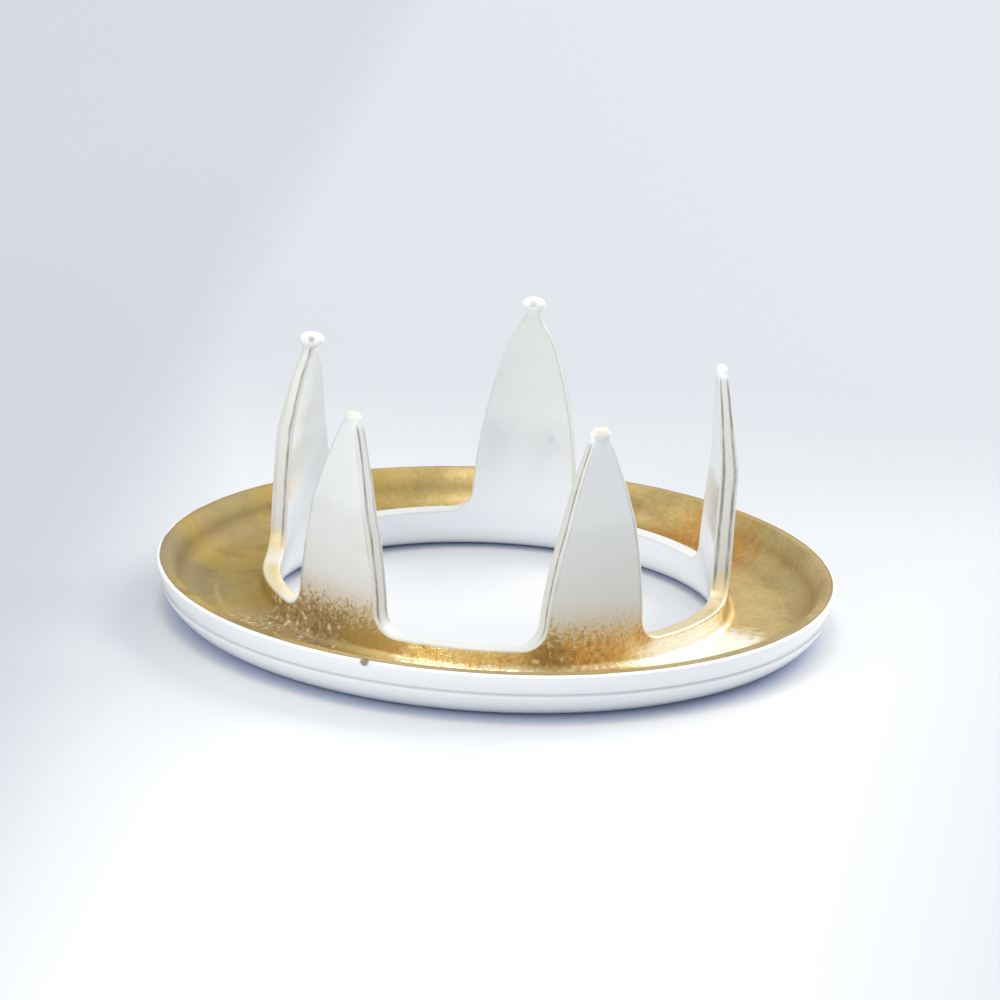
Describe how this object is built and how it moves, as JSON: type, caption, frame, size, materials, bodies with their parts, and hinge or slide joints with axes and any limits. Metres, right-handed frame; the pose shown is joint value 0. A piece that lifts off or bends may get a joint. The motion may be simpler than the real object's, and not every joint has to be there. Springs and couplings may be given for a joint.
{
  "type": "open prong ring of a snap fastener",
  "caption": "Open prong ring of a press snap: a domed, enamelled brass ring whose pointed prongs pierce cloth and clinch into the socket or stud behind it.",
  "frame": {"origin": "on the ring's axis, at the height of the plane its domed face rests on", "axes": "+Z along the ring's axis, from the domed face towards the prong tips; +Y towards the longest prong"},
  "size_m": [0.0094, 0.0094, 0.0038],
  "materials": {
    "enamelled_brass": "gloss white enamel outside and in the bore, bare brass in the hollow, thin grey-white overspray on the prongs"
  },
  "bodies": {
    "root": {"prong_ring": "enamelled_brass"}
  },
  "joints": []
}
